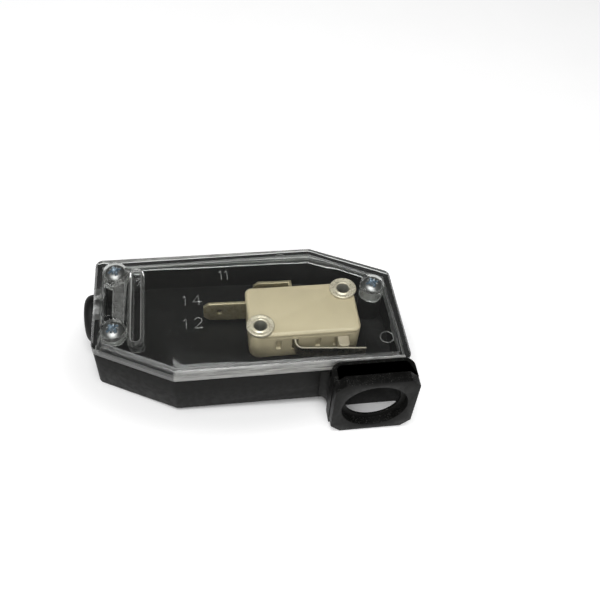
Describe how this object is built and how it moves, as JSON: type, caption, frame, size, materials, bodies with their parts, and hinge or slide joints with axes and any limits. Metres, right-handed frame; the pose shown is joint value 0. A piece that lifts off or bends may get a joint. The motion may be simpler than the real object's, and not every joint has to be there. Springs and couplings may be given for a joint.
{
  "type": "limit switch",
  "caption": "Flat six-sided position switch with a screwed clear cover, a snap-action switch and lever inside, a cable grommet and a bored mounting collar.",
  "frame": {"origin": "centre of the mounting collar's bore, on the collar's front face", "axes": "-Y out of the collar's bore, +X from the cable end to the collar end, +Z out of the clear cover"},
  "size_m": [0.078, 0.0463, 0.0196],
  "materials": {
    "base_plastic": "black moulded plastic, satin",
    "cover_plastic": "clear moulded plastic, glossy",
    "seal_rubber": "black, matt",
    "grommet_rubber": "black, matt",
    "screw_zinc": "bright zinc plate, slightly blue",
    "case_beige": "beige moulded plastic, satin",
    "plunger_cream": "cream moulded plastic, satin",
    "eyelet_nickel": "bright nickel plate",
    "lever_steel": "stamped strip, satin",
    "terminal_brass": "tinned brass, dull",
    "contact_silver": "silver alloy, satin",
    "blade_copper": "beryllium copper strip, satin"
  },
  "bodies": {
    "housing": {"base_housing": "base_plastic", "mounting_collar": "base_plastic", "cover_seal": "seal_rubber", "cable_grommet": "grommet_rubber", "switch_case": "case_beige", "switch_case_lid": "case_beige", "eyelet_front": "eyelet_nickel", "eyelet_back": "eyelet_nickel", "terminal_open": "terminal_brass", "contact_fixed": "contact_silver", "terminal_common": "terminal_brass", "blade_rivet": "terminal_brass"},
    "cover": {"clear_cover": "cover_plastic", "cover_screw_back": "screw_zinc", "cover_screw_front": "screw_zinc", "cover_screw_right": "screw_zinc"},
    "lever": {"switch_lever": "lever_steel"},
    "plunger": {"switch_plunger": "plunger_cream"},
    "blade": {"moving_blade": "blade_copper", "contact_moving": "contact_silver", "snap_spring": "blade_copper"}
  },
  "joints": [
    {"name": "plunger_slide", "type": "slide", "parent": "housing", "child": "plunger", "axis": [0, 1, 0], "range_m": [0, 0.0018], "stiffness_N_per_m": 300, "springref_m": -0.002},
    {"name": "lever_hinge", "type": "hinge", "parent": "housing", "child": "lever", "pos_m": [-0.0166, 0.02005, -0.0004], "axis": [0, 0, 1], "range_deg": [0, 8]},
    {"name": "blade_hinge", "type": "hinge", "parent": "housing", "child": "blade", "pos_m": [-0.0018, 0.0261, -0.0004], "axis": [0, 0, 1], "range_deg": [-3.2, 0], "deforming": ["snap_spring"]},
    {"name": "cover_lift", "type": "slide", "parent": "housing", "child": "cover", "axis": [0, 0, 1], "range_m": [0, 0.03]}
  ],
  "couplings": [
    {"joint": "lever_hinge", "follows": "plunger_slide", "rad_per_m": 76.3},
    {"joint": "blade_hinge", "follows": "plunger_slide", "rad_per_m": -28.6}
  ]
}
